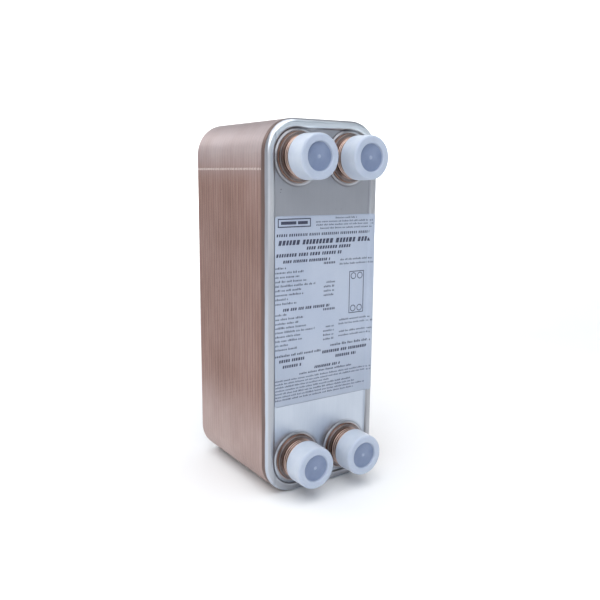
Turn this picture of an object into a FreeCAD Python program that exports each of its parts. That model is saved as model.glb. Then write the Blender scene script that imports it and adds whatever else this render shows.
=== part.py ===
"""Brazed plate heat exchanger, as a parametric FreeCAD document.

Frame: X across the plates, Y along the plate pack (the ports face -Y), Z up. The origin is the
middle of the bottom of the whole object's box. Each sub-part is modelled with y = 0 at the front
cover's foremost plane, and its Placement moves it into the frame. Millimetres.
"""
import FreeCAD, Part
import math
import os
import re

import Sketcher
from FreeCAD import Placement, Rotation, Vector

DRIVING = {
    # outline, shared by covers and plates
    "OverallWidth": 111.0,
    "OverallHeight": 310.0,
    "CornerRadius": 27.5,
    "PackDepth": 121.5,
    # port centres
    "PortSpanAcross": 50.0,
    "PortSpanUp": 250.0,
    # channel plates
    "PlateCount": 50,
    "SheetThick": 0.4,
    "RimDraft": 10.5,
    "PortHoleRadius": 15.0,
    "CollarRadius": 22.5,
    "EmbossDraft": 50.0,
    "RidgeHalfWidth": 4.0,
    "RidgeHalfSpan": 48.0,
    "RidgeRise": 27.7,
    "RidgeFirstUp": 62.0,
    "RidgePitch": 12.0,
    "RidgeCount": 14,
    "MarkUp": 270.5,
    "MarkWidth": 1.8,
    "MarkDepth": 1.1,
    "MarkReach": 2.0,
    "MarkOverrun": 1.0,
    # front cover
    "FrontThick": 3.5,
    "SkirtDepth": 8.0,
    "EdgeRound": 4.6,
    "BandWidth": 7.0,
    "FieldDepth": 1.5,
    "FieldDraft": 38.0,
    "BandInnerRound": 2.0,
    "FieldRound": 0.8,
    "BossRadius": 22.4,
    "BossRise": 0.8,
    "BossDraft": 58.0,
    "SpigotRadius": 16.0,
    "SpigotGap": 0.05,
    # rear cover
    "RearThick": 4.6,
    # nozzles, with a G1 pipe thread outside
    "BoreRadius": 13.0,
    "FlangeRadius": 19.4,
    "FlangeFront": 1.8,
    "FlangeChamfer": 0.5,
    "NeckRadius": 14.9,
    "ThreadStart": 3.0,
    "ThreadMajor": 16.62,
    "ThreadMinor": 15.15,
    "ThreadPitch": 2.309,
    "ThreadTurns": 9,
    "NozzleReach": 24.2,
    # brazing metal at each nozzle's foot
    "FilletWidth": 0.7,
    "FilletRise": 0.8,
    "FilletGap": 0.02,
    # protective caps
    "CapReach": 28.4,
    "CapRear": 10.5,
    "CapRearRadius": 17.9,
    "CapFrontRadius": 17.45,
    "CapEdgeRound": 1.6,
    "CapClearance": 0.3,
    "CapFrontWall": 1.1,
    "CapCupRadius": 11.3,
    "CapCupDepth": 2.0,
    "CapCupWall": 1.1,
    "CapGateRadius": 0.9,
    "CapGateRise": 0.35,
    # adhesive rating label, which runs over the step on to the right-hand band
    "LabelLeft": -47.0,
    "LabelRight": 53.0,
    "LabelLow": 77.0,
    "LabelTop": 234.0,
    "LabelThick": 0.15,
    "LabelFootGap": 0.55,
    "LabelHeadGap": 0.2,
}

SIDES = {"left": -1, "right": 1}
LEVELS = {"lower": -1, "upper": 1}
PORTS = [(level, side) for level in LEVELS for side in SIDES]
SAME = 1e-3  # two places closer than this are one place
# one turn of the thread: each corner's radius, and its place in sixths of the pitch
THREAD_TURN = (("ThreadMinor", 0), ("ThreadMajor", 2), ("ThreadMajor", 3), ("ThreadMinor", 5))

doc = FreeCAD.newDocument("plate_heat_exchanger")
sheet = doc.addObject("Spreadsheet::Sheet", "Dims")
for row, (alias, value) in enumerate(DRIVING.items(), start=1):
    sheet.set(f"A{row}", alias)
    sheet.set(f"B{row}", str(value))
    sheet.setAlias(f"B{row}", alias)
doc.recompute()


def bound(text):
    """An expression in the sheet's aliases, with the sheet's name before each alias."""
    return re.sub(r"[A-Z][A-Za-z]+", lambda m: f"Dims.{m[0]}" if m[0] in DRIVING else m[0], str(text))


def value(text):
    """The number an expression gives with the sheet as it stands."""
    found = sheet.evalExpression(bound(text))
    return float(getattr(found, "Value", found))


# ---------------------------------------------------------------- expressions used in many places
PLATE_PITCH = "((PackDepth - FrontThick - RearThick) / PlateCount)"
RIM_DEPTH = f"({PLATE_PITCH} + RearThick)"
RIM_TAN = "tan(RimDraft * 1deg)"
RIM_SLOPE_THICK = "(SheetThick / cos(RimDraft * 1deg))"
FLOOR_INSET = f"({RIM_DEPTH} * {RIM_TAN})"
EMBOSS_TAN = "tan(EmbossDraft * 1deg)"
EMBOSS_SLOPE_THICK = "(SheetThick / cos(EmbossDraft * 1deg))"
CAVITY_GROWTH = f"(SheetThick * {EMBOSS_TAN} - {EMBOSS_SLOPE_THICK})"
PRESS_DEPTH = f"({PLATE_PITCH} - SheetThick)"
FRONT_Y = "(CapReach - (PackDepth + CapReach) / 2)"


def origin_plane(body, role):
    """One of the body's own origin planes."""
    return next(f for f in body.Origin.OriginFeatures if f.Role == role)


def new_body(label):
    body = doc.addObject("PartDesign::Body", label)
    body.Label = label
    return body


def new_sketch(body, name, role, back=0):
    """A sketch on an origin plane. back moves it along +Y on XZ_Plane, or along +Z on XY_Plane."""
    sketch = body.newObject("Sketcher::SketchObject", name)
    sketch.AttachmentSupport = [(origin_plane(body, role), "")]
    sketch.MapMode = "FlatFace"
    if back != 0:
        sign = "-" if role == "XZ_Plane" else ""
        sketch.setExpression("AttachmentOffset.Base.z", bound(f"{sign}({back}) * 1mm"))
    return sketch


def pin_point(sketch, line, end, x, y):
    """Hold one end of a line at a place given by two expressions."""
    for kind, text in (("DistanceX", x), ("DistanceY", y)):
        index = sketch.addConstraint(Sketcher.Constraint(kind, -1, 1, line, end, value(text)))
        sketch.setExpression(f"Constraints[{index}]", bound(text))


def draw_polygon(sketch, points):
    """A closed outline of straight lines through points, each an (x, y) pair of expressions."""
    places = [Vector(value(x), value(y), 0) for x, y in points]
    lines = [
        sketch.addGeometry(Part.LineSegment(a, b), False)
        for a, b in zip(places, places[1:] + places[:1])
    ]
    for n, (x, y) in enumerate(points):
        sketch.addConstraint(Sketcher.Constraint("Coincident", lines[n - 1], 2, lines[n], 1))
        pin_point(sketch, lines[n], 1, x, y)


def draw_circle(sketch, x, y, radius):
    centre = Vector(value(x), value(y), 0)
    circle = sketch.addGeometry(Part.Circle(centre, Vector(0, 0, 1), value(radius)), False)
    pin_point(sketch, circle, 3, x, y)
    index = sketch.addConstraint(Sketcher.Constraint("Radius", circle, value(radius)))
    sketch.setExpression(f"Constraints[{index}]", bound(radius))


def draw_outline(sketch, inset):
    """The plates' outline, a rectangle with round corners, moved inwards by inset all round."""
    side = f"(OverallWidth / 2 - ({inset}))"
    low = f"({inset})"
    top = f"(OverallHeight - ({inset}))"
    radius = f"(CornerRadius - ({inset}))"
    r, z_axis, quarter = value(radius), Vector(0, 0, 1), math.pi / 2
    # each corner: (x sign, level, the arc's first angle in quarter turns)
    corners = ((1, low, 3), (1, top, 0), (-1, top, 1), (-1, low, 2))
    arcs = []
    for sign, level, turn in corners:
        inward = 1 if level is low else -1
        centre = Vector(sign * (value(side) - r), value(level) + inward * r, 0)
        circle = Part.Circle(centre, z_axis, r)
        arcs.append(sketch.addGeometry(Part.ArcOfCircle(circle, turn * quarter, (turn + 1) * quarter)))
    starts = [sketch.getPoint(arc, 1) for arc in arcs]
    ends = [sketch.getPoint(arc, 2) for arc in arcs]
    for n, arc in enumerate(arcs):
        following = (n + 1) % 4
        line = sketch.addGeometry(Part.LineSegment(ends[n], starts[following]), False)
        sketch.addConstraint(Sketcher.Constraint("Coincident", arc, 2, line, 1))
        sketch.addConstraint(Sketcher.Constraint("Coincident", line, 2, arcs[following], 1))
    for arc, (sign, level, turn) in zip(arcs, corners):
        inward = "+" if level is low else "-"
        upright = (f"{sign} * {side}", f"{level} {inward} {radius}")
        level_run = (f"{sign} * ({side} - {radius})", level)
        first, second = (level_run, upright) if turn in (3, 1) else (upright, level_run)
        pin_point(sketch, arc, 1, *first)
        pin_point(sketch, arc, 2, *second)
        index = sketch.addConstraint(Sketcher.Constraint("Radius", arc, r))
        sketch.setExpression(f"Constraints[{index}]", bound(radius))


def extrude(body, kind, name, sketch, depth, draft="0", rearward=True):
    """A Pad or Pocket of a sketch. It runs along +Y if rearward, and draft widens it as it runs."""
    feature = body.newObject(f"PartDesign::{kind}", name)
    feature.Profile = sketch
    # a sketch on XZ_Plane faces -Y, a Pad follows its normal, and a Pocket runs against it
    feature.Reversed = rearward if kind == "Pad" else not rearward
    feature.setExpression("Length", bound(f"({depth}) * 1mm"))
    if draft != "0":
        feature.setExpression("TaperAngle", bound(f"({draft}) * 1deg"))
    return feature


def revolve(body, name, sketch):
    """A full turn of a profile about the sketch's upright axis."""
    feature = body.newObject("PartDesign::Revolution", name)
    feature.Profile = sketch
    feature.ReferenceAxis = (sketch, ["V_Axis"])
    feature.Angle = 360
    return feature


def checked(feature, grows):
    """Recompute and make sure that a feature really added or removed material."""
    before = feature.BaseFeature.Shape.Volume if feature.BaseFeature else 0.0
    doc.recompute()
    change = feature.Shape.Volume - before
    if (change > 0) != grows or abs(change) < SAME:
        raise RuntimeError(f"{feature.Label} changed the volume by {change:.3f}")
    return feature


def port_place(level, side):
    """The two expressions of a port's centre."""
    return (
        f"{SIDES[side]} * PortSpanAcross / 2",
        f"OverallHeight / 2 + {LEVELS[level]} * PortSpanUp / 2",
    )


def place(obj, x=0, y=0, z=0):
    """Place a sub-part, modelled from the front cover's foremost plane, in the object's frame."""
    for axis, text in (("x", x), ("y", f"{FRONT_Y} + ({y})"), ("z", z)):
        obj.setExpression(f".Placement.Base.{axis}", bound(f"({text}) * 1mm"))


# ---------------------------------------------------------------- channel plates
def v_outline(half_width):
    """A V on its side-to-side arms, point up, centred on the first ridge: six corners."""
    lean = "sqrt(1 + pow(RidgeRise / RidgeHalfSpan; 2))"
    reach = f"(({half_width}) * {lean})"
    end_low = f"RidgeFirstUp - {reach}"
    end_high = f"RidgeFirstUp + {reach}"
    span = f"(RidgeHalfSpan - RidgeHalfWidth + ({half_width}))"
    shift = f"((RidgeHalfWidth - ({half_width})) * RidgeRise / RidgeHalfSpan)"
    return [
        (span, f"{end_low} + {shift}"),
        (span, f"{end_high} + {shift}"),
        ("0", f"RidgeFirstUp + RidgeRise + {reach}"),
        (f"-{span}", f"{end_high} + {shift}"),
        (f"-{span}", f"{end_low} + {shift}"),
        ("0", f"RidgeFirstUp + RidgeRise - {reach}"),
    ]


def make_plate():
    """One pressed channel plate: a tray that opens rearward, with V ridges and two raised ports.

    Every second plate of the pack is this one turned half round in its own plane, so that ridges
    cross and each port is sealed off from every second channel.
    """
    body = new_body("channel_plate")
    outline = new_sketch(body, "plate_outline", "XZ_Plane")
    draw_outline(outline, FLOOR_INSET)
    checked(extrude(body, "Pad", "plate_block", outline, RIM_DEPTH, "RimDraft"), True)

    hollow = new_sketch(body, "plate_hollow", "XZ_Plane", "SheetThick")
    draw_outline(hollow, f"({FLOOR_INSET} - SheetThick * {RIM_TAN} + {RIM_SLOPE_THICK})")
    checked(extrude(body, "Pocket", "plate_tray", hollow, f"{RIM_DEPTH} - SheetThick", "RimDraft"), False)

    ridge = new_sketch(body, "ridge_outline", "XZ_Plane", "SheetThick")
    draw_polygon(ridge, v_outline("RidgeHalfWidth"))
    ridge_pad = checked(extrude(body, "Pad", "ridge", ridge, PRESS_DEPTH, "-EmbossDraft"), True)
    groove = new_sketch(body, "groove_outline", "XZ_Plane")
    draw_polygon(groove, v_outline(f"RidgeHalfWidth + {CAVITY_GROWTH}"))
    groove_cut = checked(extrude(body, "Pocket", "groove", groove, PRESS_DEPTH, "-EmbossDraft"), False)
    ridges = body.newObject("PartDesign::LinearPattern", "ridges")
    ridges.Originals = [ridge_pad, groove_cut]
    ridges.Direction = (ridge, ["V_Axis"])
    ridges.setExpression("Length", bound("RidgePitch * (RidgeCount - 1) * 1mm"))
    ridges.setExpression("Occurrences", bound("RidgeCount"))
    body.Tip = ridges
    doc.recompute()

    collars = new_sketch(body, "collar_outline", "XZ_Plane", "SheetThick")
    cavities = new_sketch(body, "collar_cavity_outline", "XZ_Plane")
    holes = new_sketch(body, "port_holes_outline", "XZ_Plane")
    for level, side in PORTS:
        x, z = port_place(level, side)
        draw_circle(holes, x, z, "PortHoleRadius")
        if side == "right":
            draw_circle(collars, x, z, "CollarRadius")
            draw_circle(cavities, x, z, f"CollarRadius + {CAVITY_GROWTH}")
    checked(extrude(body, "Pad", "collars", collars, PRESS_DEPTH, "-EmbossDraft"), True)
    checked(extrude(body, "Pocket", "collar_cavities", cavities, PRESS_DEPTH, "-EmbossDraft"), False)
    checked(extrude(body, "Pocket", "port_holes", holes, RIM_DEPTH), False)

    mark = new_sketch(body, "mark_outline", "XZ_Plane", f"{RIM_DEPTH} - MarkDepth")
    draw_polygon(
        mark,
        [
            ("-OverallWidth / 2 - MarkOverrun", "MarkUp - MarkWidth / 2"),
            ("-OverallWidth / 2 + MarkReach", "MarkUp - MarkWidth / 2"),
            ("-OverallWidth / 2 + MarkReach", "MarkUp + MarkWidth / 2"),
            ("-OverallWidth / 2 - MarkOverrun", "MarkUp + MarkWidth / 2"),
        ],
    )
    checked(extrude(body, "Pocket", "stacking_mark", mark, "MarkDepth"), False)
    return body


def make_plate_pair(plate, first):
    """Two neighbouring channel plates, front one first, as a node of two separate solids."""
    pair = []
    for number in (first, first + 1):
        link = doc.addObject("App::Link", f"plate_{number:02d}")
        link.LinkedObject = plate
        turned = number % 2 == 0
        if turned:
            link.Placement = Placement(Vector(0, 0, 0), Rotation(Vector(0, 1, 0), 180))
        place(link, y=f"FrontThick + {number - 1} * {PLATE_PITCH}", z="OverallHeight" if turned else 0)
        pair.append(link)
    node = doc.addObject("Part::Compound", f"channel_plates_{first:02d}_{first + 1:02d}")
    node.Links = pair
    return node


# ---------------------------------------------------------------- covers
BOSS_TOP = "(FieldDepth - BossRise)"


def round_edges(body, name, base, radius, wanted):
    """A Fillet on the edges of a feature whose bounding boxes wanted accepts."""
    names = [f"Edge{n}" for n, e in enumerate(base.Shape.Edges, start=1) if wanted(e.BoundBox)]
    if not names:
        raise RuntimeError(f"{name} found no edge")
    fillet = body.newObject("PartDesign::Fillet", name)
    fillet.Base = (base, names)
    fillet.setExpression("Radius", bound(f"({radius}) * 1mm"))
    doc.recompute()
    return fillet


def at_depth(depth, inset=0.0):
    """Accepts edges that lie wholly at one y, and at least inset inside the outline's sides."""
    y = value(depth)
    side = value("OverallWidth") / 2 - inset

    def wanted(box):
        level = abs(box.YMin - y) < SAME and abs(box.YMax - y) < SAME
        return level and -side - SAME < box.XMin and box.XMax < side + SAME

    return wanted


def make_front_cover():
    """The thick pressed cover: round outer edge, raised border band, sunk field, four bosses."""
    body = new_body("front_cover")
    outline = new_sketch(body, "cover_outline", "XZ_Plane")
    draw_outline(outline, "0")
    block = checked(extrude(body, "Pad", "cover_block", outline, "SkirtDepth"), True)
    rounded = round_edges(body, "outer_round", block, "EdgeRound", at_depth("0"))

    nest = new_sketch(body, "nest_outline", "XZ_Plane", "FrontThick")
    draw_outline(nest, FLOOR_INSET)
    checked(extrude(body, "Pocket", "plate_nest", nest, "SkirtDepth - FrontThick", "RimDraft"), False)

    field = new_sketch(body, "field_outline", "XZ_Plane")
    draw_outline(field, "BandWidth")
    sunk = checked(extrude(body, "Pocket", "field", field, "FieldDepth", "-FieldDraft"), False)
    inside = value("BandWidth")
    shoulder = round_edges(body, "band_round", sunk, "BandInnerRound", at_depth("0", inside))
    round_edges(body, "field_round", shoulder, "FieldRound", at_depth("FieldDepth", inside))

    bosses = new_sketch(body, "boss_outline", "XZ_Plane", "FieldDepth")
    holes = new_sketch(body, "nozzle_holes_outline", "XZ_Plane")
    for level, side in PORTS:
        x, z = port_place(level, side)
        draw_circle(bosses, x, z, "BossRadius")
        draw_circle(holes, x, z, "SpigotRadius + SpigotGap")
    checked(extrude(body, "Pad", "bosses", bosses, "BossRise", "-BossDraft", rearward=False), True)
    checked(extrude(body, "Pocket", "nozzle_holes", holes, "FrontThick"), False)
    place(body)
    return body


def make_rear_cover():
    """The blind cover that nests in the last channel plate's rim, flush with its edge."""
    body = new_body("rear_cover")
    outline = new_sketch(body, "rear_outline", "XZ_Plane")
    draw_outline(outline, FLOOR_INSET)
    checked(extrude(body, "Pad", "rear_block", outline, "RearThick", "RimDraft"), True)
    place(body, y="PackDepth - RearThick")
    return body


# ---------------------------------------------------------------- ports
def thread_profile():
    """One side of a 55 degree pipe thread, as ring grooves at its pitch, from foot to tip."""
    points = []
    for turn in range(int(value("ThreadTurns"))):
        for radius, sixths in THREAD_TURN:
            points.append((radius, f"-(ThreadStart + ({turn} + {sixths} / 6) * ThreadPitch)"))
    return points


def make_nozzle(level, side):
    """A bored port: spigot through the cover, round flange, neck, pipe thread."""
    body = new_body(f"nozzle_{level}_{side}")
    profile = new_sketch(body, "nozzle_profile", "XY_Plane")
    foot = [
        ("BoreRadius", "FrontThick"),
        ("SpigotRadius", "FrontThick"),
        ("SpigotRadius", BOSS_TOP),
        ("FlangeRadius", BOSS_TOP),
        ("FlangeRadius", "FlangeChamfer - FlangeFront"),
        ("FlangeRadius - FlangeChamfer", "-FlangeFront"),
        ("NeckRadius", "-FlangeFront"),
        ("NeckRadius", "-ThreadStart"),
    ]
    tip = [("ThreadMinor", "-NozzleReach"), ("BoreRadius", "-NozzleReach")]
    draw_polygon(profile, foot + thread_profile() + tip)
    checked(revolve(body, "nozzle_turned", profile), True)
    x, z = port_place(level, side)
    place(body, x, 0, z)
    return body


def make_braze_fillet(level, side):
    """The ring of brazing metal in the corner between a nozzle's flange and its boss."""
    body = new_body(f"braze_fillet_{level}_{side}")
    profile = new_sketch(body, "fillet_profile", "XY_Plane")
    draw_polygon(
        profile,
        [
            ("FlangeRadius + FilletGap", BOSS_TOP),
            ("FlangeRadius + FilletWidth", BOSS_TOP),
            ("FlangeRadius + FilletGap", f"{BOSS_TOP} - FilletRise"),
        ],
    )
    checked(revolve(body, "fillet_ring", profile), True)
    x, z = port_place(level, side)
    place(body, x, 0, z)
    return body


def make_cap(level, side):
    """A push-on protective cap: tapered skirt, round front edge, sunk disc with a gate mark."""
    body = new_body(f"cap_{level}_{side}")
    profile = new_sketch(body, "cap_profile", "XY_Plane")
    inner = "ThreadMajor + CapClearance"
    disc = "-(CapReach - CapCupDepth)"
    cup_outside = "CapCupRadius + CapCupWall"
    draw_polygon(
        profile,
        [
            (inner, "-CapRear"),
            ("CapRearRadius", "-CapRear"),
            ("CapFrontRadius", "-CapReach"),
            ("CapCupRadius", "-CapReach"),
            ("CapCupRadius", disc),
            ("CapGateRadius", disc),
            ("CapGateRadius", f"{disc} - CapGateRise"),
            ("0", f"{disc} - CapGateRise"),
            ("0", f"{disc} + CapCupWall"),
            (cup_outside, f"{disc} + CapCupWall"),
            (cup_outside, "-(CapReach - CapFrontWall)"),
            (inner, "-(CapReach - CapFrontWall)"),
        ],
    )
    turned = checked(revolve(body, "cap_turned", profile), True)
    front = -value("CapReach")

    def front_rim(box):
        at_front = abs(box.YMin - front) < SAME and abs(box.YMax - front) < SAME
        return at_front and box.XLength > value("CapFrontRadius") + value("CapCupRadius")

    round_edges(body, "cap_round", turned, "CapEdgeRound", front_rim)
    x, z = port_place(level, side)
    place(body, x, 0, z)
    return body


# ---------------------------------------------------------------- label
def make_label():
    """The adhesive label: flat on the field, up the step, and on over the right-hand band."""
    body = new_body("rating_label")
    profile = new_sketch(body, "label_profile", "XY_Plane", "LabelLow")
    lift = "(LabelThick / 2)"
    foot = "(OverallWidth / 2 - BandWidth - FieldDepth * tan(FieldDraft * 1deg) - LabelFootGap)"
    head = "(OverallWidth / 2 - BandWidth + LabelHeadGap)"
    draw_polygon(
        profile,
        [
            ("LabelLeft", "FieldDepth"),
            (foot, "FieldDepth"),
            (head, "0"),
            ("LabelRight", "0"),
            ("LabelRight", "-LabelThick"),
            (f"{head} - {lift}", "-LabelThick"),
            (f"{foot} - {lift}", "FieldDepth - LabelThick"),
            ("LabelLeft", "FieldDepth - LabelThick"),
        ],
    )
    pad = body.newObject("PartDesign::Pad", "label_sheet")
    pad.Profile = profile
    pad.setExpression("Length", bound("(LabelTop - LabelLow) * 1mm"))
    checked(pad, True)
    place(body)
    return body


# ---------------------------------------------------------------- the whole object
def build():
    """Every sub-part of the object, each a document object whose Label names its node."""
    plate = make_plate()
    parts = [make_front_cover(), make_rear_cover(), make_label()]
    parts += [make_plate_pair(plate, first) for first in range(1, int(value("PlateCount")), 2)]
    for level, side in PORTS:
        parts += [make_nozzle(level, side), make_braze_fillet(level, side), make_cap(level, side)]
    doc.recompute()
    return parts


def write(parts):
    """Stop if anything in the document failed, then write one STEP file for each sub-part."""
    broken = [o.Label for o in doc.Objects if "Invalid" in o.State or "Error" in o.State]
    broken += [p.Label for p in parts if p.Shape.isNull() or not p.Shape.isValid()]
    if broken:
        raise RuntimeError(f"failed objects: {broken}")
    os.makedirs("parts", exist_ok=True)
    for part in parts:
        part.Shape.exportStep(f"parts/{part.Label}.step")
    print(f"{len(parts)} nodes, {sum(len(p.Shape.Solids) for p in parts)} solids")


write(build())
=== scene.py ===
"""The looks of a brazed plate heat exchanger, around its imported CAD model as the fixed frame.

Lengths are metres in the CAD frame: X across the plates, -Y the way the ports face, Z up. MM turns
millimetres into metres. Pieces that stand for a round CAD node have their origin on its axis, at
the front cover's foremost plane.
"""
import math
import random

import bpy
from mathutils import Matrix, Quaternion, Vector, noise


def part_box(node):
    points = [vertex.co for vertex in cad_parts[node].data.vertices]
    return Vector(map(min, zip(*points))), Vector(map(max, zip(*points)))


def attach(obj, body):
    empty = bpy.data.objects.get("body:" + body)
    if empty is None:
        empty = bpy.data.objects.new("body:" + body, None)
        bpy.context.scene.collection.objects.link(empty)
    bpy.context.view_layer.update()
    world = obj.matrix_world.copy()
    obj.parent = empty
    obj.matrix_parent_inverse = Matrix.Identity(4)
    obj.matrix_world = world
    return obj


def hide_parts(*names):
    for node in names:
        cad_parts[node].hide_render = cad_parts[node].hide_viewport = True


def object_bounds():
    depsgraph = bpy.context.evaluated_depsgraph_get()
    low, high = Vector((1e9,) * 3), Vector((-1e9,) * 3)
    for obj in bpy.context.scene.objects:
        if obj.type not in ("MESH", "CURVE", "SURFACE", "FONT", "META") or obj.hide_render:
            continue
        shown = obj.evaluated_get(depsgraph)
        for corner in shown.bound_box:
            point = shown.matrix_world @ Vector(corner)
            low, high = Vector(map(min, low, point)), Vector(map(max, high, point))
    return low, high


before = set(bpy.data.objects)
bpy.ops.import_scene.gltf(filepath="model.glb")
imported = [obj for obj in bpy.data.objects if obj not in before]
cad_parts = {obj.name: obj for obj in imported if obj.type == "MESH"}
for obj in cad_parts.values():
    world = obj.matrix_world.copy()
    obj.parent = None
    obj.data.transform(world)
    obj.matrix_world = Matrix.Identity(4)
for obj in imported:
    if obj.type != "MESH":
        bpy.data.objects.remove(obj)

MM = 0.001
TAU = 2 * math.pi
CAD_LOW, CAD_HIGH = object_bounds()
COVER_LOW, COVER_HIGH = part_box("front_cover")
LABEL_LOW, LABEL_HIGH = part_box("rating_label")
PLATE_LOW, PLATE_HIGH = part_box("channel_plates_01_02")
NEXT_LOW, NEXT_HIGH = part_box("channel_plates_03_04")
FRONT = COVER_LOW.y
PORTS = [f"{level}_{side}" for level in ("lower", "upper") for side in ("left", "right")]
PLATE_NODES = sorted(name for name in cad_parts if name.startswith("channel_plates"))
PLATE_COUNT = 2 * len(PLATE_NODES)
PLATE_PITCH = (NEXT_LOW.y - PLATE_LOW.y) / 2
RIM_DEPTH = PLATE_HIGH.y - PLATE_LOW.y - PLATE_PITCH
CORNER_RADIUS = 27.5 * MM
RIM_DRAFT = math.radians(10.5)
FIELD_DEPTH = LABEL_HIGH.y - FRONT
FIELD_BACK = FRONT + FIELD_DEPTH
BAND_WIDTH = 7 * MM
LEFT_SIDE = CAD_LOW.x
STACKING_MARK = 270.5 * MM

BORE = 13.0 * MM
NECK = 14.9 * MM
SPIGOT = 15.9 * MM
THREAD_ROOT = 15.15 * MM
THREAD_CREST = 16.62 * MM
THREAD_PITCH = 2.309 * MM
FLANGE_FRONT = -1.8 * MM
CAP_INSIDE = 16.95 * MM
CAP_NOSE = 17.45 * MM
CAP_CUP = 11.3 * MM
CAP_WALL = 1.1 * MM

# Dark specks on the cover's field: x, z and radius in millimetres.
SPECKS = ((-41.4, 254.8, 1.0), (-41.8, 252.6, 0.7), (12.0, 238.5, 0.5), (17.5, 238.4, 0.5))


# ---------------------------------------------------------------- camera, floor and light
def make_camera():
    """The camera looks at a point of the front cover's plane, from the left and slightly above."""
    azimuth, elevation, roll = math.radians(-33.665), math.radians(10.404), math.radians(0.453)
    target = Vector((-23.835 * MM, FRONT, 165.697 * MM))
    distance = 558.3 * MM
    back = Vector((
        math.sin(azimuth) * math.cos(elevation),
        -math.cos(azimuth) * math.cos(elevation),
        math.sin(elevation),
    ))
    camera = bpy.data.objects.new("camera", bpy.data.cameras.new("camera"))
    camera.data.lens = 41.06
    camera.data.clip_start = 0.01
    camera.location = target + back * distance
    camera.rotation_mode = "QUATERNION"
    camera.rotation_quaternion = (-back).to_track_quat("-Z", "Y") @ Quaternion((0, 0, 1), roll)
    bpy.context.scene.collection.objects.link(camera)
    bpy.context.scene.camera = camera


def area_light(name, place, aim, size, power, colour):
    """A rectangular lamp at a place, turned towards an aim."""
    light = bpy.data.lights.new(name, "AREA")
    light.shape = "RECTANGLE"
    light.size, light.size_y = size
    light.energy = power
    light.color = colour
    lamp = bpy.data.objects.new(name, light)
    lamp.location = Vector(place)
    lamp.rotation_mode = "QUATERNION"
    lamp.rotation_quaternion = (Vector(aim) - Vector(place)).to_track_quat("-Z", "Y")
    bpy.context.scene.collection.objects.link(lamp)


def make_lights():
    middle = (0, 0, 0.16)
    area_light("overhead_light", (-0.25, -0.35, 1.8), middle, (2.1, 2.1), 31, (1.0, 0.995, 0.99))
    area_light("key_light", (-1.3, -1.7, 1.35), middle, (1.2, 1.2), 12.0, (0.96, 0.98, 1.0))
    area_light("side_light", (-2.1, 1.1, 0.75), middle, (1.3, 1.2), 2.5, (1.0, 0.97, 0.94))
    area_light("corner_light", (-0.8, -1.0, 1.7), middle, (0.55, 0.55), 1.6, (0.98, 0.99, 1.0))
    area_light("rear_light", (-0.9, 2.5, 1.8), middle, (2.4, 1.1), 14, (1.0, 0.99, 0.98))
    area_light("backdrop_light", (1.3, 1.7, 1.9), (2.3, 3.2, 0.3), (1.4, 0.8), 60, (1.0, 1.0, 1.0))
    world = bpy.data.worlds.new("studio")
    world.use_nodes = True
    background = world.node_tree.nodes["Background"]
    background.inputs["Color"].default_value = (0.86, 0.91, 1.0, 1)
    background.inputs["Strength"].default_value = 0.36
    bpy.context.scene.world = world
    bpy.context.scene.view_settings.view_transform = "Standard"


def make_floor():
    """A pale studio sweep: flat round the object, curved up far from it on every side."""
    flat, rise, steps, segments = 2.6, 1.2, 16, 96
    rings = [(flat * n / 6, 0.0) for n in range(1, 7)]
    for n in range(1, steps + 1):
        bend = math.pi / 2 * n / steps
        rings.append((flat + rise * math.sin(bend), rise * (1 - math.cos(bend))))
    rings.append((flat + rise, 2.4))
    points = [(0.0, 0.0, 0.0)]
    for radius, height in rings:
        for n in range(segments):
            turn = TAU * n / segments
            points.append((radius * math.cos(turn), radius * math.sin(turn), height))
    faces = [(0, 1 + n, 1 + (n + 1) % segments) for n in range(segments)]
    for ring in range(len(rings) - 1):
        first, second = 1 + ring * segments, 1 + (ring + 1) * segments
        for n in range(segments):
            m = (n + 1) % segments
            faces.append((first + n, second + n, second + m, first + m))
    floor = new_object("studio_floor", points, faces)
    material, tree, shader = new_material("studio_floor")
    grain = pattern(tree, object_place(tree), Scale=3.0, Detail=3.0)
    pale = colour_ramp(tree, grain, ((0.3, (0.88, 0.885, 0.89)), (0.7, (0.91, 0.915, 0.92))))
    link(tree, pale, shader, "Base Color")
    shader.inputs["Roughness"].default_value = 0.75
    floor.data.materials.append(material)


# ---------------------------------------------------------------- meshes
def new_object(name, points, faces, origin=(0, 0, 0), smooth=True):
    mesh = bpy.data.meshes.new(name)
    mesh.from_pydata([Vector(p) for p in points], [], faces)
    mesh.validate()
    if smooth:
        mesh.shade_smooth()
    obj = bpy.data.objects.new(name, mesh)
    obj.location = Vector(origin)
    bpy.context.scene.collection.objects.link(obj)
    return obj


def rounded(corners, steps=6):
    """A path through corners, each (radius from the axis, y, fillet), with its fillets as arcs."""
    path = []
    for n, (r, y, fillet) in enumerate(corners):
        here = Vector((r, y))
        if fillet == 0:
            path.append((r, y))
            continue
        before = (Vector(corners[n - 1][:2]) - here).normalized()
        after = (Vector(corners[(n + 1) % len(corners)][:2]) - here).normalized()
        half = before.angle(after) / 2
        reach = fillet / math.tan(half)
        centre = here + (before + after).normalized() * (fillet / math.sin(half))
        start, end = here + before * reach - centre, here + after * reach - centre
        sweep = start.angle(end)
        for step in range(steps + 1):
            share = step / steps
            point = (start * math.sin(sweep * (1 - share)) + end * math.sin(sweep * share)) / math.sin(sweep)
            path.append((centre.x + point.x, centre.y + point.y))
    return path


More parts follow.
